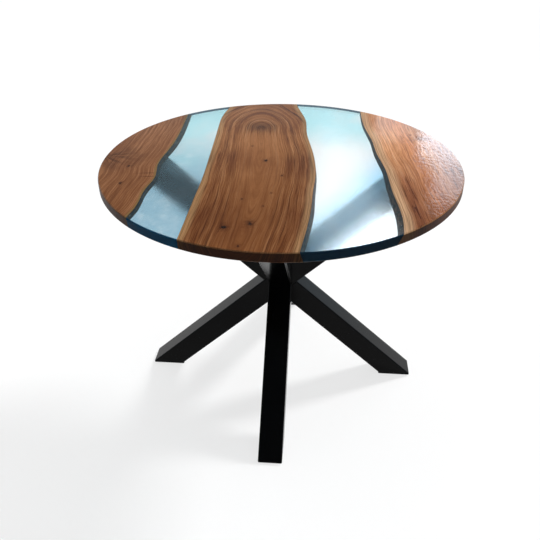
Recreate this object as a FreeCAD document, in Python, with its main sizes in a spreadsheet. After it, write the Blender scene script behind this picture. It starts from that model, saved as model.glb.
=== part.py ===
import FreeCAD, Part
import os
import Sketcher
from FreeCAD import Placement, Rotation, Vector

# Round dining table: three live-edge boards with two clear resin rivers between them,
# on a welded base of square steel tubes that cross below the middle of the top.
# The origin is on the floor under the centre of the top, +Z is up and the front is -Y.

DRIVING_SIZES = {
    # round top
    "top_radius": 500,
    "table_height": 750,
    "top_thickness": 25,
    "rim_arris": 2,
    "under_arris": 1.5,
    # crossed tube base; the beam ends stop short of the rim by the inset
    "base_inset": 64,
    "tube_side": 70,
    "tube_wall": 3,
    "tube_corner": 4,
    # plates welded on the arms, with a narrower tongue that takes the bolts
    "plate_thickness": 6,
    "tongue_length": 45,
    "tongue_width": 48,
    "tongue_corner": 12,
    # caps welded under the legs, and the floor pads
    "sole_thickness": 4,
    "sole_corner": 4,
    "glide_thickness": 3,
    "glide_inset": 5,
    "glide_corner": 6,
    # flange bolts and threaded inserts
    "bolt_spacing": 26,
    "bolt_diameter": 6,
    "bolt_reach": 16,
    "bolt_play": 0.8,
    "head_flats": 10,
    "head_height": 4,
    "flange_diameter": 13,
    "flange_thickness": 1.6,
    "insert_diameter": 10,
    "insert_length": 12,
    "insert_play": 0.1,
    "thread_play": 0.3,
    "pocket_end": 2,
    # how far cutting shapes run past what they cut
    "overrun": 10,
}

# Live edges of the boards, from the back of the table to its front. Each row holds the place
# across and along the top as shares of its radius, and how far the edge leans towards +X at the
# underside as a share of the top's thickness.
LEFT_BOARD_EDGE_SHARES = (
    (-0.690, 1.10, 0.30),
    (-0.677, 0.71, 0.40),
    (-0.661, 0.42, 0.46),
    (-0.663, 0.12, 0.40),
    (-0.673, -0.14, 0.26),
    (-0.652, -0.27, 0.22),
    (-0.664, -0.44, 0.20),
    (-0.659, -0.62, 0.18),
    (-0.677, -0.76, 0.16),
    (-0.690, -1.10, 0.16),
)
CENTRE_BOARD_LEFT_EDGE_SHARES = (
    (-0.395, 1.10, 0.10),
    (-0.420, 0.91, 0.12),
    (-0.444, 0.70, 0.14),
    (-0.438, 0.50, 0.16),
    (-0.421, 0.19, 0.10),
    (-0.409, -0.05, 0.04),
    (-0.400, -0.25, 0.08),
    (-0.397, -0.55, 0.12),
    (-0.394, -0.90, 0.06),
    (-0.396, -1.10, 0.06),
)
CENTRE_BOARD_RIGHT_EDGE_SHARES = (
    (0.020, 1.10, -0.10),
    (0.062, 0.87, -0.10),
    (0.111, 0.66, -0.12),
    (0.126, 0.44, -0.08),
    (0.159, 0.22, -0.04),
    (0.188, 0.00, 0.02),
    (0.197, -0.21, 0.14),
    (0.189, -0.40, 0.26),
    (0.186, -0.59, 0.32),
    (0.173, -0.77, 0.34),
    (0.140, -1.10, 0.30),
)
RIGHT_BOARD_EDGE_SHARES = (
    (0.466, 1.10, -0.08),
    (0.473, 0.85, -0.08),
    (0.485, 0.59, -0.12),
    (0.523, 0.34, -0.20),
    (0.541, 0.13, -0.26),
    (0.574, -0.08, -0.34),
    (0.590, -0.34, -0.42),
    (0.609, -0.53, -0.50),
    (0.616, -0.66, -0.54),
    (0.608, -0.80, -0.52),
    (0.596, -1.10, -0.50),
)
LIVE_EDGES = (
    LEFT_BOARD_EDGE_SHARES,
    CENTRE_BOARD_LEFT_EDGE_SHARES,
    CENTRE_BOARD_RIGHT_EDGE_SHARES,
    RIGHT_BOARD_EDGE_SHARES,
)
TOP_PIECES = ("slab_left", "river_left", "slab_centre", "river_right", "slab_right")

# Headings of the four sides about the vertical, in degrees, and the board above each arm end.
HEADINGS = {"right": 0, "back": 90, "left": 180, "front": 270}
BOARD_ABOVE = {
    "right": "slab_right",
    "back": "slab_centre",
    "left": "slab_left",
    "front": "slab_centre",
}

doc = FreeCAD.newDocument("dining_table")
sheet = doc.addObject("Spreadsheet::Sheet", "Sizes")
for row, (alias, number) in enumerate(DRIVING_SIZES.items(), start=1):
    sheet.set(f"A{row}", alias)
    sheet.set(f"B{row}", str(number))
    sheet.setAlias(f"B{row}", alias)
doc.recompute()

# Derived sizes, written once and used by every feature that follows them.
TOP_UNDERSIDE = "(Sizes.table_height - Sizes.top_thickness)"
ARM_LEVEL = f"({TOP_UNDERSIDE} - Sizes.plate_thickness)"
FOOT_LEVEL = "(Sizes.glide_thickness + Sizes.sole_thickness)"
FRAME_RISE = f"({ARM_LEVEL} - {FOOT_LEVEL})"
CROSSING_LEVEL = f"(({ARM_LEVEL} + {FOOT_LEVEL}) / 2)"
REACH = "(Sizes.top_radius - Sizes.base_inset)"
BEAM_ANGLE = (
    f"(atan({FRAME_RISE} / (2 * {REACH}))"
    f" + asin(Sizes.tube_side / sqrt({FRAME_RISE} ^ 2 + (2 * {REACH}) ^ 2)))"
)
END_LENGTH = f"(Sizes.tube_side / sin({BEAM_ANGLE}))"
STOCK_LENGTH = f"({FRAME_RISE} / sin({BEAM_ANGLE}) + 2 * Sizes.tube_side)"
BORE_SIDE = "(Sizes.tube_side - 2 * Sizes.tube_wall)"
BOLT_PLACE = f"({REACH} + Sizes.tongue_length / 2)"
POCKET_DEPTH = "(Sizes.insert_length + Sizes.pocket_end)"


def value(expression):
    """The number that an expression of sheet sizes gives."""
    result = sheet.evalExpression(expression)
    return float(getattr(result, "Value", result))


def bind(feature, **expressions):
    """Bind properties of a feature to expressions of sheet sizes."""
    for name, expression in expressions.items():
        feature.setExpression(name, expression)
    return feature


def turned(heading, level):
    """A placement turned about the vertical by a heading, at the height of an expression."""
    return Placement(Vector(0, 0, value(level)), Rotation(Vector(0, 0, 1), heading))


def new_body(label):
    body = doc.addObject("PartDesign::Body", label)
    body.Label = label
    return body


def new_sketch(body, name):
    """An empty sketch on the body's own XY plane."""
    sketch = body.newObject("Sketcher::SketchObject", name)
    plane = next(item for item in body.Origin.OriginFeatures if item.Role == "XY_Plane")
    sketch.AttachmentSupport = [(plane, "")]
    sketch.MapMode = "FlatFace"
    return sketch


def bound_constraint(sketch, expression, kind, *places):
    """Add a dimension to a sketch and bind it to an expression."""
    index = sketch.addConstraint(Sketcher.Constraint(kind, *places, value(expression)))
    sketch.setExpression(f"Constraints[{index}]", expression)


def rectangle(sketch, near, far, width):
    """A rectangle symmetric about the sketch's X axis, from one distance along it to another."""
    half = value(width) / 2
    start, end = value(near), value(far)
    corners = [Vector(start, -half), Vector(end, -half), Vector(end, half), Vector(start, half)]
    first = sketch.GeometryCount
    for tail, head in zip(corners, corners[1:] + corners[:1]):
        sketch.addGeometry(Part.LineSegment(tail, head), False)
    for side in range(4):
        following = first + (side + 1) % 4
        sketch.addConstraint(Sketcher.Constraint("Coincident", first + side, 2, following, 1))
    for side in (first, first + 2):
        sketch.addConstraint(Sketcher.Constraint("Horizontal", side))
    sketch.addConstraint(Sketcher.Constraint("Vertical", first + 3))
    sketch.addConstraint(Sketcher.Constraint("Symmetric", first + 1, 1, first + 1, 2, -1))
    bound_constraint(sketch, near, "DistanceX", -1, 1, first, 1)
    bound_constraint(sketch, far, "DistanceX", -1, 1, first, 2)
    bound_constraint(sketch, width, "DistanceY", first + 1, 1, first + 1, 2)


def centred_square(sketch, side):
    """A square centred on the sketch's origin."""
    half = value(side) / 2
    corners = [Vector(-half, -half), Vector(half, -half), Vector(half, half), Vector(-half, half)]
    first = sketch.GeometryCount
    for tail, head in zip(corners, corners[1:] + corners[:1]):
        sketch.addGeometry(Part.LineSegment(tail, head), False)
    for edge in range(4):
        following = first + (edge + 1) % 4
        sketch.addConstraint(Sketcher.Constraint("Coincident", first + edge, 2, following, 1))
    for edge in (first, first + 2):
        sketch.addConstraint(Sketcher.Constraint("Horizontal", edge))
    for edge in (first + 1, first + 3):
        sketch.addConstraint(Sketcher.Constraint("Vertical", edge))
    sketch.addConstraint(Sketcher.Constraint("Symmetric", first, 1, first + 1, 2, -1, 1))
    bound_constraint(sketch, side, "DistanceX", first, 1, first, 2)
    bound_constraint(sketch, side, "DistanceY", first + 1, 1, first + 1, 2)


def pad(body, sketch, length):
    feature = body.newObject("PartDesign::Pad", f"{sketch.Name}_pad")
    feature.Profile = sketch
    bind(feature, Length=length)
    doc.recompute()
    return feature


def fillet(body, feature, wanted, radius, name):
    """Round the edges of a feature that a test picks."""
    edges = enumerate(feature.Shape.Edges, start=1)
    names = [f"Edge{number}" for number, edge in edges if wanted(edge)]
    rounded = body.newObject("PartDesign::Fillet", name)
    rounded.Base = (feature, names)
    bind(rounded, Radius=radius)
    doc.recompute()
    return rounded


def is_upright(edge):
    """Whether an edge is straight and runs along the body's own Z axis."""
    if edge.Curve.TypeId != "Part::GeomLine":
        return False
    return abs(edge.Curve.Direction.z) > abs(edge.Curve.Direction.x) + abs(edge.Curve.Direction.y)


def is_beyond(edge, distance):
    """Whether the middle of an edge lies further along X than an expression says."""
    return edge.CenterOfMass.x > value(distance)


def boolean(kind, label, base, tool):
    """A boolean object of two objects, such as a cut or a common."""
    result = doc.addObject(f"Part::{kind}", label)
    result.Label = label
    result.Base = base
    result.Tool = tool
    return result


def cylinder(name, radius, height, place):
    result = doc.addObject("Part::Cylinder", name)
    bind(result, Radius=radius, Height=height)
    result.Placement = Placement(place, Rotation())
    return result


# Round top


def top_blank():
    """The whole round top before its boards and rivers are told apart."""
    body = new_body("top_blank")
    sketch = new_sketch(body, "top_outline")
    sketch.addGeometry(Part.Circle(Vector(), Vector(0, 0, 1), value("Sizes.top_radius")), False)
    sketch.addConstraint(Sketcher.Constraint("Coincident", 0, 3, -1, 1))
    bound_constraint(sketch, "Sizes.top_radius", "Radius", 0)
    disc = pad(body, sketch, "Sizes.top_thickness")
    for level, size, name in (
        ("Sizes.top_thickness", "Sizes.rim_arris", "rim_chamfer"),
        ("0", "Sizes.under_arris", "under_chamfer"),
    ):
        rim = [abs(edge.CenterOfMass.z - value(level)) < value(size) for edge in disc.Shape.Edges]
        edges = [f"Edge{number}" for number, wanted in enumerate(rim, start=1) if wanted]
        chamfer = body.newObject("PartDesign::Chamfer", name)
        chamfer.Base = (disc, edges)
        bind(chamfer, Size=size)
        doc.recompute()
        disc = chamfer
    body.Placement = turned(0, TOP_UNDERSIDE)
    doc.recompute()
    return body


def live_edge_line(shares, depth_share):
    """The smooth line of a live edge at a depth below the top, as a share of the thickness."""
    radius = value("Sizes.top_radius")
    thickness = value("Sizes.top_thickness")
    level = value("Sizes.table_height") - depth_share * thickness
    points = [
        Vector(across * radius + lean * depth_share * thickness, along * radius, level)
        for across, along, lean in shares
    ]
    line = Part.BSplineCurve()
    line.interpolate(points)
    return line.toShape()


def live_edge_wall(shares):
    """The leaning wall of a live edge, run past the top's two faces."""
    overrun_share = value("Sizes.overrun / Sizes.top_thickness")
    lower = live_edge_line(shares, 1 + overrun_share)
    upper = live_edge_line(shares, -overrun_share)
    return Part.makeRuledSurface(lower, upper)


def insert_places(side):
    """Where the two bolts of one side stand, on the underside of the top."""
    heading = Rotation(Vector(0, 0, 1), HEADINGS[side])
    out = value(BOLT_PLACE)
    level = value(TOP_UNDERSIDE)
    half = value("Sizes.bolt_spacing") / 2
    return [heading.multVec(Vector(out, across, level)) for across in (-half, half)]


def bore_for_inserts(board, label):
    """Cut the blind pockets for the threaded inserts out of a board's underside."""
    pockets = []
    for side, name in BOARD_ABOVE.items():
        if name != label:
            continue
        for number, place in enumerate(insert_places(side), start=1):
            radius = "(Sizes.insert_diameter + Sizes.insert_play) / 2"
            sunk = place - Vector(0, 0, value("Sizes.overrun"))
            depth = f"{POCKET_DEPTH} + Sizes.overrun"
            pockets.append(cylinder(f"{side}_pocket_{number}", radius, depth, sunk))
    drill = doc.addObject("Part::MultiFuse", f"{label}_pockets")
    drill.Shapes = pockets
    return boolean("Cut", label, board, drill)


def top_pieces():
    """Part the round top along its live edges into boards and rivers."""
    blank = top_blank()
    parted, _ = blank.Shape.generalFuse([live_edge_wall(shares) for shares in LIVE_EDGES])
    solids = sorted(parted.Solids, key=lambda solid: solid.CenterOfMass.x)
    pieces = []
    for label, solid in zip(TOP_PIECES, solids, strict=True):
        is_board = label in BOARD_ABOVE.values()
        piece = doc.addObject("Part::Feature", f"{label}_uncut" if is_board else label)
        piece.Shape = solid
        pieces.append(bore_for_inserts(piece, label) if is_board else piece)
    return pieces


# Crossed base


def beam_placement(heading):
    """The run of a beam: its own Z axis climbs through the crossing towards a heading."""
    climb = Rotation(Vector(0, 1, 0), 90 - value(BEAM_ANGLE))
    about = Rotation(Vector(0, 0, 1), heading)
    return Placement(Vector(0, 0, value(CROSSING_LEVEL)), about.multiply(climb))


def tube_stock(name, heading):
    """A length of square tube along one beam, longer than the beam at both ends."""
    body = new_body(name)
    sketch = new_sketch(body, f"{name}_section")
    centred_square(sketch, "Sizes.tube_side")
    centred_square(sketch, BORE_SIDE)
    drawn = pad(body, sketch, STOCK_LENGTH)
    within = value(BORE_SIDE) / 2
    fillet(
        body,
        drawn,
        lambda edge: is_upright(edge) and abs(edge.CenterOfMass.x) > within
        and abs(edge.CenterOfMass.y) > within,
        "Sizes.tube_corner",
        f"{name}_corners",
    )
    start = Placement(Vector(0, 0, -value(STOCK_LENGTH) / 2), Rotation())
    body.Placement = beam_placement(heading).multiply(start)
    return body


def beam_envelope(name, heading):
    """The solid bar that a beam fills, used to cope other tubes on to it."""
    bar = doc.addObject("Part::Box", name)
    bind(bar, Length="Sizes.tube_side", Width="Sizes.tube_side", Height=STOCK_LENGTH)
    half = value("Sizes.tube_side") / 2
    corner = Placement(Vector(-half, -half, -value(STOCK_LENGTH) / 2), Rotation())
    bar.Placement = beam_placement(heading).multiply(corner)
    return bar


def storey(name, bottom, top, heading=None):
    """A block between two heights, all round the axis or on one heading's side of it."""
    block = doc.addObject("Part::Box", name)
    span = f"({STOCK_LENGTH})"
    bind(block, Width=f"2 * {span}", Height=f"{top} - {bottom}")
    bind(block, Length=span if heading is not None else f"2 * {span}")
    back = 0 if heading is not None else -value(span)
    corner = Placement(Vector(back, -value(span), 0), Rotation())
    block.Placement = turned(heading or 0, bottom).multiply(corner)
    return block


def crossed_base():
    """Seven tubes: one beam right through, and six more coped on to what stands before them."""
    full = storey("frame_storey", FOOT_LEVEL, ARM_LEVEL)
    low = storey("leg_storey", FOOT_LEVEL, CROSSING_LEVEL)
    high = storey("arm_storey", CROSSING_LEVEL, ARM_LEVEL)
    long_bar = beam_envelope("long_bar", HEADINGS["right"])
    cross_bar = beam_envelope("cross_bar", HEADINGS["left"])
    crossing = boolean("Fuse", "crossing_bars", long_bar, cross_bar)

    pieces = [boolean("Common", "long_beam", tube_stock("long_stock", HEADINGS["right"]), full)]
    for label, block in (("right_leg", low), ("left_arm", high)):
        stock = tube_stock(f"{label}_stock", HEADINGS["left"])
        trimmed = boolean("Common", f"{label}_trimmed", stock, block)
        pieces.append(boolean("Cut", label, trimmed, long_bar))
    for side, opposite in (("front", "back"), ("back", "front")):
        for limb, climb, bottom, top in (
            ("leg", opposite, FOOT_LEVEL, CROSSING_LEVEL),
            ("arm", side, CROSSING_LEVEL, ARM_LEVEL),
        ):
            label = f"{side}_{limb}"
            stock = tube_stock(f"{label}_stock", HEADINGS[climb])
            block = storey(f"{label}_storey", bottom, top, HEADINGS[side])
            trimmed = boolean("Common", f"{label}_trimmed", stock, block)
            pieces.append(boolean("Cut", label, trimmed, crossing))
    return pieces


# Plates, soles and glides, one of each on every side


def top_plate(side):
    """A plate over an arm's end, with a tongue outwards that is bolted to the board above."""
    body = new_body(f"top_plate_{side}")
    end = new_sketch(body, f"plate_{side}")
    rectangle(end, f"{REACH} - {END_LENGTH}", REACH, "Sizes.tube_side")
    pad(body, end, "Sizes.plate_thickness")
    tongue = new_sketch(body, f"tongue_{side}")
    rectangle(tongue, f"{REACH} - {END_LENGTH} / 2", f"{REACH} + Sizes.tongue_length", "Sizes.tongue_width")
    whole = pad(body, tongue, "Sizes.plate_thickness")
    rounded = fillet(
        body,
        whole,
        lambda edge: is_upright(edge) and is_beyond(edge, BOLT_PLACE),
        "Sizes.tongue_corner",
        f"tongue_{side}_corners",
    )
    holes = new_sketch(body, f"plate_{side}_holes")
    out = value(BOLT_PLACE)
    half = value("Sizes.bolt_spacing") / 2
    hole_radius = "(Sizes.bolt_diameter + Sizes.bolt_play) / 2"
    for across in (-half, half):
        circle = Part.Circle(Vector(out, across), Vector(0, 0, 1), value(hole_radius))
        bound_constraint(holes, hole_radius, "Radius", holes.addGeometry(circle, False))
    bound_constraint(holes, BOLT_PLACE, "DistanceX", -1, 1, 0, 3)
    holes.addConstraint(Sketcher.Constraint("Symmetric", 0, 3, 1, 3, -1))
    bound_constraint(holes, "Sizes.bolt_spacing", "DistanceY", 0, 3, 1, 3)
    drilled = body.newObject("PartDesign::Pocket", f"plate_{side}_drilling")
    drilled.Profile = holes
    drilled.Reversed = True
    drilled.Type = "ThroughAll"
    doc.recompute()
    if drilled.Shape.Volume >= rounded.Shape.Volume:
        raise RuntimeError(f"the bolt holes of the {side} plate cut nothing")
    body.Placement = turned(HEADINGS[side], ARM_LEVEL)
    return body


def foot_pad(label, heading, inset, thickness, corner, level):
    """A flat pad under a leg's end, drawn in from the tube's outline by an inset."""
    body = new_body(label)
    outline = new_sketch(body, f"{label}_outline")
    rectangle(
        outline,
        f"{REACH} - {END_LENGTH} + {inset}",
        f"{REACH} - {inset}",
        f"Sizes.tube_side - 2 * {inset}",
    )
    flat = pad(body, outline, thickness)
    fillet(body, flat, is_upright, corner, f"{label}_corners")
    body.Placement = turned(heading, level)
    return body


def plates_and_feet():
    pieces = []
    for side, heading in HEADINGS.items():
        pieces.append(top_plate(side))
        pieces.append(
            foot_pad(f"sole_plate_{side}", heading, "0", "Sizes.sole_thickness",
                     "Sizes.sole_corner", "Sizes.glide_thickness")
        )
        pieces.append(
            foot_pad(f"glide_{side}", heading, "Sizes.glide_inset", "Sizes.glide_thickness",
                     "Sizes.glide_corner", "0")
        )
    return pieces


# Flange bolts and threaded inserts, each kind a group of separate solids


def bolt():
    """A hexagon flange bolt on the origin, its head down and the flange's bearing face at zero."""
    head = doc.addObject("Part::Prism", "bolt_head")
    head.Polygon = 6
    bind(head, Circumradius="Sizes.head_flats / (2 * cos(30))", Height="Sizes.head_height")
    head.Placement = Placement(Vector(0, 0, -value("Sizes.head_height")), Rotation())
    below = Vector(0, 0, -value("Sizes.flange_thickness"))
    flange = cylinder("bolt_flange", "Sizes.flange_diameter / 2", "Sizes.flange_thickness", below)
    shank = cylinder("bolt_shank", "Sizes.bolt_diameter / 2", "Sizes.bolt_reach", Vector())
    return boolean("Fuse", "bolt", boolean("Fuse", "bolt_top", head, flange), shank)


def ring(name, outer, inner, height):
    """A short sleeve that stands on the origin."""
    body = cylinder(f"{name}_outside", f"{outer} / 2", height, Vector())
    below = Vector(0, 0, -value("Sizes.overrun"))
    bore = cylinder(f"{name}_bore", f"{inner} / 2", f"{height} + 2 * Sizes.overrun", below)
    return boolean("Cut", name, body, bore)


def group(label, master, level):
    """Copies of one fastener at every bolt place, at a height."""
    doc.recompute()
    copies = []
    for side in HEADINGS:
        for place in insert_places(side):
            copy = master.Shape.copy()
            copy.translate(Vector(place.x, place.y, value(level)))
            copies.append(copy)
    node = doc.addObject("Part::Feature", label)
    node.Shape = Part.makeCompound(copies)
    return node


def fasteners():
    thread_bore = "(Sizes.bolt_diameter + Sizes.thread_play)"
    insert = ring("insert", "Sizes.insert_diameter", thread_bore, "Sizes.insert_length")
    return [
        group("plate_bolts", bolt(), ARM_LEVEL),
        group("threaded_inserts", insert, TOP_UNDERSIDE),
    ]


def write(pieces):
    """Check every object of the document, then write one file for each piece."""
    doc.recompute()
    for item in doc.Objects:
        if "Invalid" in item.State or "Error" in item.State:
            raise RuntimeError(f"{item.Label} failed: {item.State}")
    for piece in pieces:
        shape = piece.Shape
        if shape.isNull() or not shape.isValid():
            raise RuntimeError(f"{piece.Label} has no sound shape")
        fastener_count = len(HEADINGS) * 2
        expected = fastener_count if shape.ShapeType == "Compound" and len(shape.Solids) > 1 else 1
        if len(shape.Solids) != expected:
            raise RuntimeError(f"{piece.Label} has {len(shape.Solids)} solids")
    os.makedirs("parts", exist_ok=True)
    for piece in pieces:
        piece.Shape.exportStep(f"parts/{piece.Label}.step")
        print(piece.Label, len(piece.Shape.Solids), round(piece.Shape.Volume), piece.Shape.BoundBox)


write(top_pieces() + crossed_base() + plates_and_feet() + fasteners())
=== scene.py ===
import math

import bmesh
import bpy
from mathutils import Matrix, Vector


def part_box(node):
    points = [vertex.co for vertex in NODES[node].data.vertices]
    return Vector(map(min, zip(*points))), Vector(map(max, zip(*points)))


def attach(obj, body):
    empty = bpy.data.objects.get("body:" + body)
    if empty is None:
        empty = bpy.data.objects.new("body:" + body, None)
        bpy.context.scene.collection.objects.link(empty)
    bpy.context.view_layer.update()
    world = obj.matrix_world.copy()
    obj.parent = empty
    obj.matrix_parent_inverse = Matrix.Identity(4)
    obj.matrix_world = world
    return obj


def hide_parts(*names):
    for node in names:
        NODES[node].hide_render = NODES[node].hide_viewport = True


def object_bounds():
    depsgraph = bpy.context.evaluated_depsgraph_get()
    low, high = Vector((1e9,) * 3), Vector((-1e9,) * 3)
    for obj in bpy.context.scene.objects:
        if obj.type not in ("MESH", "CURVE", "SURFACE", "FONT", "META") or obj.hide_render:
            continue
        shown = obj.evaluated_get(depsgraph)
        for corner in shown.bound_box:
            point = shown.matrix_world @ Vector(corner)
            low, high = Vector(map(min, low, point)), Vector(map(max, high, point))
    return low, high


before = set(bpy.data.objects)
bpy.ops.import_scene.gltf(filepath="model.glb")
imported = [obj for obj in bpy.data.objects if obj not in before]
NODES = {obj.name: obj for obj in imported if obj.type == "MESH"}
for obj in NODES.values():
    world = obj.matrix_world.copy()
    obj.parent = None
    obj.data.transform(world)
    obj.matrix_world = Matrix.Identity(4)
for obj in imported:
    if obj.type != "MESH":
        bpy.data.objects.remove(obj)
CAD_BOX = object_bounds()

# The table in metres: a round top of live-edge boards and clear resin rivers on a crossed steel base.
LOW, HIGH = (Vector(corner) for corner in CAD_BOX)
TOP_RADIUS = (HIGH.x - LOW.x) / 2
TABLE_TOP = HIGH.z
TOP_THICKNESS = HIGH.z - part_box("slab_centre")[0][2]
RIM_BAND = 0.004
RIVERS = ("river_left", "river_right")
TUBES = ("long_beam", "right_leg", "left_arm", "front_leg", "front_arm", "back_leg", "back_arm")
SIDES = ("right", "back", "left", "front")

# Live edges of the boards, back to front: places across and along the top as shares of its radius.
LEFT_BOARD_EDGE_SHARES = (
    (-0.690, 1.10), (-0.677, 0.71), (-0.661, 0.42), (-0.663, 0.12), (-0.673, -0.14),
    (-0.652, -0.27), (-0.664, -0.44), (-0.659, -0.62), (-0.677, -0.76), (-0.690, -1.10),
)
CENTRE_BOARD_LEFT_EDGE_SHARES = (
    (-0.395, 1.10), (-0.420, 0.91), (-0.444, 0.70), (-0.438, 0.50), (-0.421, 0.19),
    (-0.409, -0.05), (-0.400, -0.25), (-0.397, -0.55), (-0.394, -0.90), (-0.396, -1.10),
)
CENTRE_BOARD_RIGHT_EDGE_SHARES = (
    (0.020, 1.10), (0.062, 0.87), (0.111, 0.66), (0.126, 0.44), (0.159, 0.22), (0.188, 0.00),
    (0.197, -0.21), (0.189, -0.40), (0.186, -0.59), (0.173, -0.77), (0.140, -1.10),
)
RIGHT_BOARD_EDGE_SHARES = (
    (0.466, 1.10), (0.473, 0.85), (0.485, 0.59), (0.523, 0.34), (0.541, 0.13), (0.574, -0.08),
    (0.590, -0.34), (0.609, -0.53), (0.616, -0.66), (0.608, -0.80), (0.596, -1.10),
)
EDGE_SPAN_SHARE = 1.10


# Shader maths


class Shade:
    """A value in a material's nodes. Arithmetic on it adds Math nodes."""

    def __init__(self, finish, socket):
        self.finish = finish
        self.socket = socket

    def maths(self, operation, *others):
        inputs = dict(enumerate((self, *others)))
        return self.finish.add("ShaderNodeMath", inputs, operation=operation)

    def __add__(self, other):
        return self.maths("ADD", other)

    def __radd__(self, other):
        return self.maths("ADD", other)

    def __sub__(self, other):
        return self.maths("SUBTRACT", other)

    def __rsub__(self, other):
        return self.finish.add("ShaderNodeMath", {0: other, 1: self}, operation="SUBTRACT")

    def __mul__(self, other):
        return self.maths("MULTIPLY", other)

    def __rmul__(self, other):
        return self.maths("MULTIPLY", other)

    def __truediv__(self, other):
        return self.maths("DIVIDE", other)

    def __pow__(self, other):
        return self.maths("POWER", other)

    def __abs__(self):
        return self.maths("ABSOLUTE")

    def at_least(self, other):
        return self.maths("MAXIMUM", other)

    def at_most(self, other):
        return self.maths("MINIMUM", other)

    def root(self):
        return self.maths("SQRT")

    def above(self, edge):
        return self.maths("GREATER_THAN", edge)

    def below(self, edge):
        return self.maths("LESS_THAN", edge)

    def bell(self, width):
        """One where the value is zero, falling away smoothly over a width."""
        return self.finish.add(
            "ShaderNodeMath", {0: math.e, 1: (self / width) ** 2 * -1}, operation="POWER"
        )

    def ease(self, start, end):
        """Zero at start and one at end, smooth between."""
        inputs = {"Value": self, "From Min": start, "From Max": end}
        return self.finish.add("ShaderNodeMapRange", inputs, interpolation_type="SMOOTHSTEP")


class Finish:
    """A material in the making."""

    def __init__(self, name):
        self.material = bpy.data.materials.new(name)
        self.material.use_nodes = True
        self.tree = self.material.node_tree
        self.tree.nodes.clear()

    @classmethod
    def on(cls, tree):
        """The same work on a node tree that is not a material's."""
        finish = cls.__new__(cls)
        finish.tree = tree
        tree.nodes.clear()
        return finish

    def add(self, kind, inputs=None, output=0, stops=None, points=None, **settings):
        """Add a node: its settings first, then the values or links of its sockets."""
        node = self.tree.nodes.new(kind)
        for name, setting in settings.items():
            setattr(node, name, setting)
        if stops:
            ramp = node.color_ramp
            while len(ramp.elements) < len(stops):
                ramp.elements.new(0.5)
            for element, (place, colour) in zip(ramp.elements, stops):
                element.position = place
                element.color = (*colour, 1)
        if points:
            curve = node.mapping.curves[0]
            while len(curve.points) < len(points):
                curve.points.new(0.5, 0.5)
            for point, place in zip(curve.points, points):
                point.location = place
            node.mapping.update()
        for name, given in (inputs or {}).items():
            socket = node.inputs[name]
            if isinstance(given, Shade):
                self.tree.links.new(given.socket, socket)
            elif socket.type == "RGBA":
                socket.default_value = (*given, 1)
            else:
                socket.default_value = given
        return Shade(self, node.outputs[output]) if node.outputs else None

    def point(self):
        """The place on the object."""
        return self.add("ShaderNodeTexCoord", output="Object")

    def parts(self, vector):
        """A vector's three parts."""
        node = self.add("ShaderNodeSeparateXYZ", {0: vector}).socket.node
        return [Shade(self, node.outputs[axis]) for axis in "XYZ"]

    def rays(self, *kinds):
        """For each kind of ray, one where the surface is seen by it."""
        node = self.add("ShaderNodeLightPath").socket.node
        return [Shade(self, node.outputs[f"Is {kind} Ray"]) for kind in kinds]

    def facing_up(self):
        """How far the surface faces up or down, from zero on a wall to one on a level face."""
        normal = self.add("ShaderNodeNewGeometry", output="Normal")
        return abs(self.parts(normal)[2])

    def vector(self, x, y, z):
        return self.add("ShaderNodeCombineXYZ", {"X": x, "Y": y, "Z": z})

    def noise(self, vector, scale, detail=2.0, roughness=0.5):
        inputs = {"Vector": vector, "Scale": scale, "Detail": detail, "Roughness": roughness}
        return self.add("ShaderNodeTexNoise", inputs)

    def spots(self, parts, counts, detail, roughness=0.5):
        """Noise with its own count of spots to the metre along each part of the place."""
        scaled = self.vector(*(part * count for part, count in zip(parts, counts)))
        return self.noise(scaled, 1.0, detail, roughness)

    def ramp(self, factor, stops):
        return self.add("ShaderNodeValToRGB", {0: factor}, stops=stops)

    def mix(self, factor, base, over, blend="MIX"):
        inputs = {"Factor": factor, 6: base, 7: over}
        return self.add("ShaderNodeMix", inputs, output=2, data_type="RGBA", blend_type=blend)

    def bump(self, height, distance, strength=1.0):
        return self.add(
            "ShaderNodeBump", {"Height": height, "Distance": distance, "Strength": strength}
        )

    def surface(self, **inputs):
        """Finish with one principled surface; words in a socket's name are joined by _."""
        named = {name.replace("_", " "): given for name, given in inputs.items()}
        shader = self.add("ShaderNodeBsdfPrincipled", named)
        self.add("ShaderNodeOutputMaterial", {"Surface": shader})
        return self.material


# Wood

# A tone runs from the dark grain to the pale, a shade multiplies the wood, a colour covers it.
CENTRE_TONE = (
    (0.26, (0.125, 0.040, 0.011)), (0.40, (0.245, 0.092, 0.028)), (0.52, (0.335, 0.142, 0.050)),
    (0.62, (0.410, 0.195, 0.080)), (0.76, (0.490, 0.265, 0.130)),
)
LEFT_TONE = (
    (0.26, (0.105, 0.035, 0.011)), (0.40, (0.200, 0.077, 0.027)), (0.52, (0.280, 0.117, 0.046)),
    (0.62, (0.345, 0.157, 0.068)), (0.76, (0.410, 0.210, 0.105)),
)
RIGHT_TONE = (
    (0.24, (0.320, 0.120, 0.042)), (0.40, (0.570, 0.250, 0.102)), (0.52, (0.730, 0.355, 0.165)),
    (0.64, (0.820, 0.440, 0.225)), (0.78, (0.860, 0.530, 0.310)),
)
SAP_TAN_COLOUR = (0.44, 0.250, 0.110)
SAP_PALE_COLOUR = (0.62, 0.395, 0.220)
SAP_YELLOW_COLOUR = (0.24, 0.160, 0.060)
RING_SHADE = (0.36, 0.28, 0.23)
FINE_RING_SHADE = (0.52, 0.43, 0.37)
HEARTWOOD_SHADE = (0.66, 0.55, 0.48)
EYE_SHADE = (0.36, 0.33, 0.31)
PAINTED_FRONT_SHADE = (0.48, 0.40, 0.36)
PORE_SHADE = (0.30, 0.25, 0.22)
KNOT_SHADE = (0.30, 0.22, 0.18)
KNOT_COLOUR = (0.012, 0.008, 0.006)
CRACK_SHADE = (0.20, 0.14, 0.11)
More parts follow.
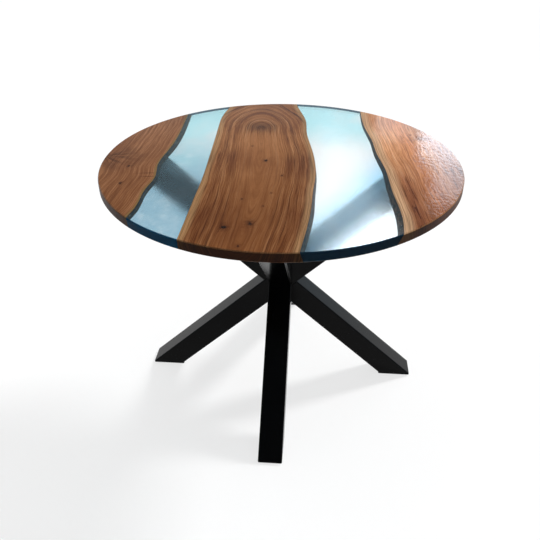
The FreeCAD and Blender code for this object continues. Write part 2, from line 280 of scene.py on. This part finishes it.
BROKEN_SHADE = (0.34, 0.25, 0.21)
CHECK_SHADE = (0.35, 0.27, 0.24)
BARK_DARK_COLOUR = (0.004, 0.003, 0.002)
BARK_PALE_COLOUR = (0.080, 0.044, 0.024)
RIM_PAINTED_SHADE = (0.22, 0.15, 0.10)
ARRIS_HIGHLIGHT_COLOUR = (0.42, 0.24, 0.12)

# How far the grain, its pith, the eye and the cracks wander, in metres.
BROAD_SWAY = 0.034
WAVY_SWAY = 0.010
CURL_SWAY = 0.0035
PITH_SWAY = 0.05
EYE_SWAY = 0.02
CRACK_SWAY = 0.006

# Between two live edges the rings keep to a part of the width; beside one they follow a share of it.
CENTRE_BOARD_WIDTH = 0.282
CENTRE_PITH_PART = 0.49
EDGE_FOLLOW = 0.8

# The cone's rise with depth, the eye's length for its width, and knots: a step along the board counts
# less than one across it, so they are long, and what they bend or darken is given in their own size.
CONE_RISE = 0.8
EYE_LENGTH = 0.8
KNOT_SQUEEZE = 0.6
KNOT_GNARL = 3
KNOT_BEND = 0.8
KNOT_BEND_REACH = 2.5
KNOT_SHADE_REACH = 1.8
KNOT_CORE_REACH = 0.7

SAP_LINE_SHARE = 0.45
CRACK_WIDTH = 0.0016
ARRIS_BAND = 0.0025
UNDERSIDE_SKIN = 0.001
LACQUER_RELIEF = 0.00040


def live_edge(finish, along, shares):
    """Where a live edge lies across the top at each place along it."""
    span = 2 * EDGE_SPAN_SHARE
    points = [((y + EDGE_SPAN_SHARE) / span, (x + 1) / 2) for x, y in reversed(shares)]
    along_share = (along / TOP_RADIUS + EDGE_SPAN_SHARE) / span
    curve = finish.add("ShaderNodeFloatCurve", {"Value": along_share}, points=points)
    return (curve * 2 - 1) * TOP_RADIUS


class Board(Finish):
    """Polished hardwood in the making. Places on it are shares of the top's radius."""

    def __init__(self, name, seed, edges):
        """Each edge is its line, the width of its sapwood and the sapwood's colour."""
        super().__init__(name)
        self.seed = seed
        self.edges = edges
        self.across, self.along, self.height = self.parts(self.point())
        self.here = (self.across, self.along, self.height)
        self.depth = TABLE_TOP - self.height
        self.banks = [live_edge(self, self.along, line) for line, width, sap in edges]

    def sway(self, count, lengthwise, detail=2.0):
        """How the grain wanders, about zero, drawn out along the board."""
        drawn = self.vector(self.across + self.seed, self.along * lengthwise, self.depth)
        return self.noise(drawn, count, detail) - 0.5

    def by_ring(self, count, lengthwise, layer, detail=1.0, roughness=0.5):
        """Noise that follows the rings, with so many spots to a ring."""
        drawn = self.vector(self.turn * count, self.along * lengthwise, layer)
        return self.noise(drawn, 1.0, detail, roughness)

    def offset(self, place):
        """How far across and along the board lies from a place."""
        return self.across - place[0] * TOP_RADIUS, self.along - place[1] * TOP_RADIUS

    def darken(self, mask, shade):
        self.wood = self.mix(mask, self.wood, shade, "MULTIPLY")

    def cover(self, mask, colour):
        self.wood = self.mix(mask, self.wood, colour)

    def draw_rings(self, pith, spacing, stretch, knots):
        """Rings where the board cuts the trunk's cone, drawn out along the board from the pith."""
        broad = self.sway(4.0, 0.45)
        self.wavy = self.sway(18.0, 0.30)
        curl = self.sway(45.0, 0.40, 1.0)
        out, ahead = self.offset(pith)
        if len(self.banks) == 2:
            left, right = self.banks
            out = ((self.across - left) / (right - left) - CENTRE_PITH_PART) * CENTRE_BOARD_WIDTH
        else:
            line = self.edges[0][0]
            bank_middle = sum(x for x, y in line) / len(line) * TOP_RADIUS
            out = out - (self.banks[0] - bank_middle) * EDGE_FOLLOW
        out = out + broad * BROAD_SWAY + self.wavy * WAVY_SWAY + curl * CURL_SWAY
        self.ahead = ahead + broad * PITH_SWAY
        behind = self.ahead * -1
        rise = self.ahead.at_least(0) / stretch[0] + behind.at_least(0) / stretch[1]
        rise = rise + self.depth * CONE_RISE
        self.ring = (out * out + rise * rise).root()

        # the rings bend round the knots
        gnarl = self.spots(self.here, (150, 110, 150), 3.0, 0.6) - 0.5
        self.knots = []
        for x, y, size in knots:
            side, run = self.offset((x, y))
            run = run * KNOT_SQUEEZE
            distance = (side * side + run * run).root() + gnarl * size * KNOT_GNARL
            self.knots.append((distance, size))
            self.ring = self.ring + distance.bell(size * KNOT_BEND_REACH) * spacing * KNOT_BEND
        self.turn = self.ring / spacing + self.seed * 10

    def draw_figure(self, tone, calm, lines):
        """Bands, streaks, flecks and fibre in the board's tone, and ring lines; calm before the pith."""
        bands = self.by_ring(0.45, 0.6, 0.0)
        strong = abs(self.by_ring(1.05, 1.3, 5.0) - 0.5)
        self.thin = abs(self.by_ring(3.0, 3.0, 9.0) - 0.5)
        self.fibre = self.spots(self.here, (900, 16, 500), 2.0, 0.6)
        streak = self.by_ring(1.3, 7.0, 3.0, 3.0)
        fleck = self.by_ring(4.2, 24, self.depth * 160, 2.0, 0.6)
        quiet = 1 - self.ring.bell(calm) * self.ahead.ease(0.0, -0.10) * 0.85
        figure = bands * 0.36 + streak * 0.34 + fleck * 0.22 + self.fibre * 0.08
        self.wood = self.ramp((figure - 0.5) * (0.6 + quiet) + 0.5, tone)
        fade = streak.ease(0.30, 0.62) * quiet
        self.darken((1 - strong.ease(0.0, 0.060)) * fade * lines, RING_SHADE)
        self.darken((1 - self.thin.ease(0.0, 0.090)) * quiet * lines, FINE_RING_SHADE)
        self.ragged = self.wavy * 0.012 + streak * 0.008 - 0.004

    def draw_marks(self, eye, eye_size, painted_front_shade_share, flames=0.0, cracks=()):
        """Clouds of darker heartwood, a dark eye, painted shade towards the front, pores, knots and
        short cracks.
        """
        cloud = self.vector(self.across + self.seed, self.along * 0.55, self.height)
        cloud = self.noise(cloud, 7.0, 3.0, 0.55)
        self.darken(cloud.ease(0.45, 0.72) * 0.6, HEARTWOOD_SHADE)
        side, run = self.offset(eye)
        run = run / EYE_LENGTH
        angle = run.maths("ARCTAN2", side)
        distance = (side * side + run * run).root() + self.wavy * EYE_SWAY
        flame = self.noise(self.vector(angle * 4, distance * 14, self.seed), 1.0, 2.0, 0.6)
        dark = distance.bell(eye_size) * (1 - flames + flame.ease(0.38, 0.60) * flames)
        self.darken(dark * 0.9, EYE_SHADE)
        # painted shade: the wood is darkened towards the front of the top
        self.darken(self.along.ease(0.20, -0.40) * painted_front_shade_share, PAINTED_FRONT_SHADE)
        self.pores = self.spots(self.here, (1500, 70, 900), 1.0).ease(0.64, 0.74)
        self.darken(self.pores * 0.5, PORE_SHADE)
        for distance, size in self.knots:
            self.darken(distance.bell(size * KNOT_SHADE_REACH) * 0.7, KNOT_SHADE)
            self.cover(distance.bell(size * KNOT_CORE_REACH), KNOT_COLOUR)
        for x, y, slope, reach in cracks:
            side, run = self.offset((x, y))
            run = run - side * slope + self.wavy * CRACK_SWAY
            self.darken(run.bell(CRACK_WIDTH) * side.bell(reach), CRACK_SHADE)

    def draw_streaks(self, streaks):
        """Streaks of broken grain beside the live edge, each from a place on it to the front."""
        checks = self.spots(self.here, (60, 420, 60), 1.0).ease(0.68, 0.74)
        broken = self.by_ring(2.0, 13, 7.0, 2.0, 0.6).ease(0.53, 0.61)
        inside = abs(self.across - self.banks[0]) + self.ragged * 1.5
        for reach, width, share, shade, (start, full) in streaks:
            streak = (inside - reach).bell(width) * share * self.along.ease(start, full)
            self.darken(streak, shade)
            self.darken(streak * broken, BROKEN_SHADE)
            self.darken(streak * checks, CHECK_SHADE)

    def draw_sapwood(self):
        """Pale sapwood along the live edges, lined by the fine rings."""
        for bank, (line, width, sap) in zip(self.banks, self.edges):
            inside = abs(self.across - bank) + self.ragged
            pale = 1 - inside.ease(width * 0.35, width)
            ring_line = tuple(part * SAP_LINE_SHARE for part in sap)
            self.cover(pale * 0.75, self.mix(self.thin.ease(0.0, 0.12), ring_line, sap))

    def lacquer(self):
        """Bark on the live edges' walls, painted shade on the rim, a painted highlight on the arris, and
        a rippled lacquer.
        """
        from_axis = (self.across * self.across + self.along * self.along).root()
        upward = self.facing_up()
        wall = upward.below(0.5) * from_axis.below(TOP_RADIUS - RIM_BAND)
        crust = self.spots(self.here, (90, 55, 160), 3.0, 0.6).ease(0.40, 0.66)
        self.cover(wall, self.mix(crust, BARK_DARK_COLOUR, BARK_PALE_COLOUR))
        # painted shade: the rim of the top is darkened
        rim = upward.below(0.5) * from_axis.above(TOP_RADIUS - RIM_BAND)
        self.darken(rim * 0.9, RIM_PAINTED_SHADE)
        # painted highlight: a lighter colour along the arris
        arris = upward.above(0.3) * upward.below(0.95) * from_axis.above(TOP_RADIUS - ARRIS_BAND)
        self.cover(arris * self.fibre.ease(0.35, 0.6) * 0.5, ARRIS_HIGHLIGHT_COLOUR)

        # the ripple is strongest at the right end of the top
        ripple = self.spots(self.here, (115, 80, 115), 2.0, 0.55)
        swell = 0.30 + self.across.ease(0.33, 0.43) * 0.70
        relief = ripple * swell + self.fibre * 0.05
        under = self.height.below(TABLE_TOP - TOP_THICKNESS + UNDERSIDE_SKIN)
        roughness = 0.07 + self.fibre * 0.05 + self.pores * 0.15 + arris * 0.12
        roughness = roughness + (wall + rim) * 0.4 + under * 0.38
        return self.surface(
            Base_Color=self.wood,
            Roughness=roughness,
            Normal=self.bump(relief, LACQUER_RELIEF),
            Specular_IOR_Level=0.11,
        )


def finish_boards():
    """Give each board its own figure."""
    pin = 0.0020
    knob = 0.0032
    stub = 0.0042
    burr = 0.0060
    # where a streak starts and where it is full, in metres along the board from the middle
    whole_length = (0.7, 0.6)
    front_half = (0.0, -0.14)

    left = Board("left_board_wood", 3.7, [(LEFT_BOARD_EDGE_SHARES, 0.008, SAP_YELLOW_COLOUR)])
    left.draw_rings(
        pith=(-1.30, 0.06), spacing=0.0052, stretch=(6.0, 6.0),
        knots=[(-0.829, -0.149, knob), (-0.813, -0.367, knob)],
    )
    left.draw_figure(LEFT_TONE, calm=0.002, lines=0.55)
    left.draw_marks(
        eye=(-1.00, -0.03), eye_size=0.085, painted_front_shade_share=0.30, flames=1.0,
        cracks=[(-0.700, -0.230, 0.12, 0.028), (-0.690, -0.274, 0.15, 0.020)],
    )
    left.draw_sapwood()
    clothe(NODES["slab_left"], left.lacquer())

    centre = Board(
        "centre_board_wood", 1.3,
        [
            (CENTRE_BOARD_LEFT_EDGE_SHARES, 0.022, SAP_TAN_COLOUR),
            (CENTRE_BOARD_RIGHT_EDGE_SHARES, 0.020, SAP_TAN_COLOUR),
        ],
    )
    centre.draw_rings(
        pith=(-0.165, 0.50), spacing=0.0075, stretch=(1.9, 26.0),
        knots=[
            (-0.186, 0.198, pin), (-0.088, -0.014, stub), (0.018, -0.207, pin),
            (-0.022, -0.423, pin), (-0.048, -0.568, pin), (-0.159, -0.501, pin),
            (-0.090, -0.748, burr), (-0.118, -0.953, pin), (-0.207, -0.793, burr),
        ],
    )
    centre.draw_figure(CENTRE_TONE, calm=0.075, lines=1.15)
    centre.draw_marks(eye=(-0.165, 0.52), eye_size=0.050, painted_front_shade_share=0.70)
    centre.draw_sapwood()
    clothe(NODES["slab_centre"], centre.lacquer())

    right = Board("right_board_wood", 6.1, [(RIGHT_BOARD_EDGE_SHARES, 0.034, SAP_PALE_COLOUR)])
    right.draw_rings(
        pith=(1.15, 0.30), spacing=0.0090, stretch=(5.0, 8.0),
        knots=[(0.801, 0.085, pin), (0.763, 0.456, pin)],
    )
    right.draw_figure(RIGHT_TONE, calm=0.002, lines=0.60)
    right.draw_marks(
        eye=(0.83, 0.40), eye_size=0.024, painted_front_shade_share=1.00, cracks=[(0.800, 0.376, 0.10, 0.024)]
    )
    right.draw_streaks([
        (0.042, 0.022, 0.90, (0.60, 0.47, 0.40), front_half),
        (0.105, 0.026, 0.50, (1.00, 0.72, 0.50), whole_length),
        (0.175, 0.050, 0.60, (0.70, 0.62, 0.64), whole_length),
        (0.215, 0.045, 0.85, (0.52, 0.50, 0.52), whole_length),
    ])
    right.draw_sapwood()
    clothe(NODES["slab_right"], right.lacquer())


# Resin


def resin_finish(name, clear, blue, painted_arm_shade, painted_shade_slate, left_rough, right_rough, see_through, index):
    """Resin tinted by place: clear in the right river, with a blue back and a slanting deeper band of
    painted shade where an arm shows through, blue at the back of the left river and painted shade in
    slate at its front, and milky patches in both."""
    arm_shade_x, arm_shade_y = 0.20, -0.26
    finish = Finish(name)
    point = finish.point()
    here = finish.parts(point)
    across, along = here[:2]
    haze = finish.spots(here, (7, 4, 7), 3.0)
    scuff = finish.spots(here, (380, 160, 300), 2.0).ease(0.62, 0.78)
    ripple = finish.noise(point, 34, 1.0)
    right = across.ease(-0.08, 0.08)
    back = (along + (haze - 0.5) * 0.25).ease(0.05, 0.34)
    tint = finish.mix((1 - right * (1 - back)).at_most(haze.ease(0.15, 0.5)), clear, blue)
    # painted shade: the front of the left river is tinted slate
    tint = finish.mix((1 - right) * (along + haze * 0.2).ease(0.34, -0.10), tint, painted_shade_slate)
    # painted shade: a deeper blue band slants across the right river where an arm shows through
    drift = (across - arm_shade_x) * 0.90 - (along - arm_shade_y) * 0.43 + (haze - 0.5) * 0.04
    tint = finish.mix(drift.bell(0.070) * right * 0.75, tint, painted_arm_shade)
    milk = finish.spots(here, (22, 13, 22), 3.0, 0.6).ease(0.48, 0.74)
    tint = finish.mix(milk * 0.22, tint, clear)
    roughness = left_rough + right * (right_rough - left_rough)
    return finish.surface(
        Base_Color=tint,
        Roughness=roughness + haze * 0.03 + scuff * 0.01,
        Transmission_Weight=see_through,
        Specular_IOR_Level=0.2,
        IOR=index,
        Normal=finish.bump(ripple * 0.7, 0.0005, 0.12),
    )


def cast_river(node, finishes):
    """A resin river: the node's shape, keyed a hair into the boards so that the two are in contact."""
    key = 0.0003
    weld = 1e-6
    level_share = 0.9
    fold = math.radians(25)
    polished, sanded, rim = range(3)
    shape = bmesh.new()
    shape.from_mesh(NODES[node].data)
    bmesh.ops.remove_doubles(shape, verts=shape.verts, dist=weld)
    shape.normal_update()
    push = {}
    for face in shape.faces:
        middle = face.calc_center_median()
        is_level = abs(face.normal.z) > level_share
        is_rim = middle.xy.length > TOP_RADIUS - RIM_BAND
        face.smooth = not is_level
        if is_level:
            face.material_index = polished if face.normal.z > 0 else sanded
        elif is_rim:
            face.material_index = rim
        else:
            for vertex in face.verts:
                push[vertex] = push.get(vertex, Vector()) + face.normal * face.calc_area()
    for edge in shape.edges:
        edge.smooth = edge.calc_face_angle(0) < fold
    for vertex, way in push.items():
        way.z = 0
        vertex.co += way.normalized() * key
    mesh = bpy.data.meshes.new(f"cast_{node}")
    shape.to_mesh(mesh)
    shape.free()
    for material in finishes:
        mesh.materials.append(material)
    piece = bpy.data.objects.new(f"cast_{node}", mesh)
    bpy.context.scene.collection.objects.link(piece)
    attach(piece, "root")
    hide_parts(node)


def cast_rivers():
    """Polished upper faces, undersides left from the sander and clearer on the right, and a rim painted
    dark as shade.
    """
    tints = {
        "clear": (0.96, 1.00, 1.00),
        "blue": (0.57, 0.94, 1.00),
        "painted_arm_shade": (0.30, 0.71, 0.98),
        "painted_shade_slate": (0.32, 0.53, 0.65),
    }
    # painted shade: the rim's tints are near black, and navy at the left river's front
    painted_shade_ink = (0.012, 0.045, 0.085)
    painted_shade_navy = (0.008, 0.110, 0.250)
    rim_tints = {"clear": painted_shade_ink, "blue": painted_shade_ink, "painted_arm_shade": painted_shade_ink, "painted_shade_slate": painted_shade_navy}
    finishes = (
        resin_finish(
            "polished_resin", **tints,
            left_rough=0.02, right_rough=0.02, see_through=0.975, index=1.42,
        ),
        resin_finish(
            "sanded_resin", **tints,
            left_rough=0.19, right_rough=0.13, see_through=1.0, index=1.42,
        ),
        resin_finish(
            "resin_rim", **rim_tints,
            left_rough=0.10, right_rough=0.10, see_through=0.3, index=1.12,
        ),
    )
    for node in RIVERS:
        cast_river(node, finishes)


# Steel, rubber and brass


def powder_coat():
    """Black powder coat with a fine orange peel, and dust that shows near the floor."""
    dusty_height = 0.10
    finish = Finish("black_powder_coat")
    point = finish.point()
    height = finish.parts(point)[2]
    peel = finish.noise(point, 900, 2.0)
    drift = finish.noise(point, 14, 3.0)
    dust = finish.noise(point, 420, 2.0, 0.7).ease(0.66, 0.80)
    low = 1 - height.ease(0.0, dusty_height)
    tint = finish.mix(drift, (0.0015, 0.0015, 0.0018), (0.0045, 0.0045, 0.005))
    tint = finish.mix(dust * (0.01 + low * 0.30), tint, (0.10, 0.095, 0.09))
    return finish.surface(
        Base_Color=tint,
        Roughness=0.13 + peel * 0.03 + drift * 0.05 + dust * low * 0.2,
        Specular_IOR_Level=0.08,
        Normal=finish.bump(peel, 0.0003, 0.12),
    )


def glide_rubber():
    """Dense black rubber with a moulded grain."""
    finish = Finish("glide_rubber")
    grain = finish.noise(finish.point(), 700, 3.0)
    return finish.surface(
        Base_Color=finish.mix(grain, (0.010, 0.010, 0.010), (0.030, 0.029, 0.028)),
        Roughness=0.65 + grain * 0.25,
        Normal=finish.bump(grain, 0.0003, 0.5),
    )


def zinc_plate():
    """Bright zinc on steel, with a faint yellow and blue cast."""
    finish = Finish("zinc_plate")
    point = finish.point()
    cast = finish.noise(point, 160, 3.0)
    scratch = finish.spots(finish.parts(point), (2400, 600, 600), 2.0)
    return finish.surface(
        Base_Color=finish.mix(cast, (0.56, 0.57, 0.60), (0.66, 0.63, 0.54)),
        Roughness=0.26 + scratch * 0.22,
        Metallic=1.0,
        Normal=finish.bump(scratch, 0.0001, 0.3),
    )


def insert_brass():
    """Turned brass, slightly dulled."""
    finish = Finish("insert_brass")
    point = finish.point()
    height = finish.parts(point)[2]
    dull = finish.noise(point, 300, 3.0)
    turning = (height * 9000).maths("SINE")
    return finish.surface(
        Base_Color=finish.mix(dull, (0.62, 0.42, 0.16), (0.42, 0.28, 0.11)),
        Roughness=0.28 + dull * 0.2,
        Metallic=1.0,
        Normal=finish.bump(turning, 0.0002, 0.4),
    )


def clothe(piece, material):
    """Give a carried-over piece its finish."""
    piece.data.materials.clear()
    piece.data.materials.append(material)


def finish_base():
    """Coat the tubes and plates, and give the pads, bolts and inserts their own finishes."""
    coat = powder_coat()
    plates = [f"{end}_plate_{side}" for end in ("top", "sole") for side in SIDES]
    for node in (*TUBES, *plates):
        clothe(NODES[node], coat)
    rubber = glide_rubber()
    for side in SIDES:
        clothe(NODES[f"glide_{side}"], rubber)
    clothe(NODES["plate_bolts"], zinc_plate())
    clothe(NODES["threaded_inserts"], insert_brass())


# Studio


def studio_floor():
    """A wide white floor that keeps the table's shadow and throws little light back up."""
    half = 30.0
    glow_share = 0.74
    more_glow_through_resin = 0.24
    shape = bmesh.new()
    bmesh.ops.create_grid(shape, x_segments=1, y_segments=1, size=half)
    mesh = bpy.data.meshes.new("studio_floor")
    shape.to_mesh(mesh)
    shape.free()
    floor = bpy.data.objects.new("studio_floor", mesh)
    bpy.context.scene.collection.objects.link(floor)
    finish = Finish("studio_floor")
    by_eye, mirrored, through = finish.rays("Camera", "Glossy", "Transmission")
    seen = by_eye.at_least(mirrored).at_least(through)
    dim = finish.add("ShaderNodeBsdfDiffuse", {"Color": (0.14, 0.14, 0.14)})
    paper = finish.add("ShaderNodeBsdfDiffuse", {"Color": (0.98, 0.98, 0.98)})
    glow = finish.add("ShaderNodeEmission", {"Color": (1, 1, 1), "Strength": 1.0})
    glowing = glow_share + through * more_glow_through_resin
    white = finish.add("ShaderNodeMixShader", {0: glowing, 1: paper, 2: glow})
    shader = finish.add("ShaderNodeMixShader", {0: seen, 1: dim, 2: white})
    finish.add("ShaderNodeOutputMaterial", {"Surface": shader})
    mesh.materials.append(finish.material)


def studio_world():
    """White to the eye. In mirrors and through the resin a white sweep under a darker ceiling, with a
    bright patch of sky that the right river mirrors; mirrors show it cooler. Elsewhere a soft fill."""
    fill = 0.14
    ceiling = 0.22
    sky = 1.1
    sweep_top, ceiling_start = 0.12, 0.46
    cool = (0.78, 0.91, 1.0)
    world = bpy.data.worlds.new("studio")
    world.use_nodes = True
    scene = Finish.on(world.node_tree)
    by_eye, mirrored, through = scene.rays("Camera", "Glossy", "Transmission")
    side, back, rise = scene.parts(scene.add("ShaderNodeTexCoord", output="Generated"))
    sweep = 1 - rise.ease(sweep_top, ceiling_start) * (1 - ceiling)

    # the patch stands behind the table, has a slanting right edge, and glares above a slanting line
    patch = (side - rise * 0.6 + 0.177).ease(0.025, -0.025) * side.ease(-0.03, 0.02)
    patch = patch * rise.ease(0.26, 0.38) * back.above(0.5)
    glare = (rise + side * 0.756).ease(0.508, 0.536) * 5.0
    patch = patch * (0.4 + rise.ease(0.30, 0.50) * 1.6 + glare)
    sweep = sweep + patch * sky
    level = fill + (sweep - fill) * mirrored.at_least(through)
    level = level + (1 - level) * by_eye
    colour = scene.mix(mirrored, (1, 1, 1), cool)
    background = scene.add("ShaderNodeBackground", {"Color": colour, "Strength": level})
    scene.add("ShaderNodeOutputWorld", {"Surface": background})
    bpy.context.scene.world = world


def aim(lamp, place, target):
    """Stand a lamp at a place and turn it to a target."""
    lamp.location = place
    lamp.rotation_euler = (Vector(target) - Vector(place)).to_track_quat("-Z", "Y").to_euler()


def studio_lamps():
    """Soft daylight from the back right, a broad light above, and three panes mirrored in the lacquer
    at the right end of the top."""
    floor_centre = (0, 0, 0)
    right_of_top = (0.3, 0, TABLE_TOP)
    pane_tint = (0.86, 0.90, 1.0)
    for name, place, strength, spread in (
        ("daylight", (3.9, 3.6, 3.63), 3.3, 10),
        ("overhead", (0.2, 1.3, 3.0), 1.3, 80),
    ):
        sky = bpy.data.lights.new(name, "SUN")
        sky.energy = strength
        sky.angle = math.radians(spread)
        lamp = bpy.data.objects.new(name, sky)
        aim(lamp, place, floor_centre)
        lamp.visible_glossy = False
        bpy.context.scene.collection.objects.link(lamp)
    for name, place, width, tall, power in (
        ("window", (1.26, 3.8, 2.08), 0.52, 0.38, 6.5),
        ("upper_window", (1.40, 3.8, 2.52), 0.46, 0.46, 3.3),
        ("side_window", (0.77, 3.8, 1.97), 0.38, 0.26, 0.7),
    ):
        pane = bpy.data.lights.new(name, "AREA")
        pane.shape = "RECTANGLE"
        pane.size = width
        pane.size_y = tall
        pane.energy = power
        pane.color = pane_tint
        lamp = bpy.data.objects.new(name, pane)
        aim(lamp, place, right_of_top)
        bpy.context.scene.collection.objects.link(lamp)


# Camera


def photo_camera():
    """The photograph's own viewpoint, found from the rim and the feet."""
    frame_pixels = 540
    focal_pixels = 609.4
    axis_pixel_x, axis_pixel_y = 284.0, 266.0
    place = Vector((0.1166, -1.5973, 1.4258))
    target = Vector((0.01425, -0.08265, 0.45))
    roll = 0.005
    data = bpy.data.cameras.new("photo_camera")
    data.sensor_width = 36.0
    data.lens = focal_pixels / frame_pixels * data.sensor_width
    data.shift_x = (frame_pixels / 2 - axis_pixel_x) / frame_pixels
    data.shift_y = (axis_pixel_y - frame_pixels / 2) / frame_pixels
    camera = bpy.data.objects.new("photo_camera", data)
    turn = (target - place).to_track_quat("-Z", "Y").to_matrix() @ Matrix.Rotation(roll, 3, "Z")
    camera.matrix_world = Matrix.Translation(place) @ turn.to_4x4()
    bpy.context.scene.collection.objects.link(camera)
    bpy.context.scene.camera = camera


bpy.context.scene.view_settings.view_transform = "Standard"
finish_boards()
cast_rivers()
finish_base()
studio_floor()
studio_world()
studio_lamps()
photo_camera()
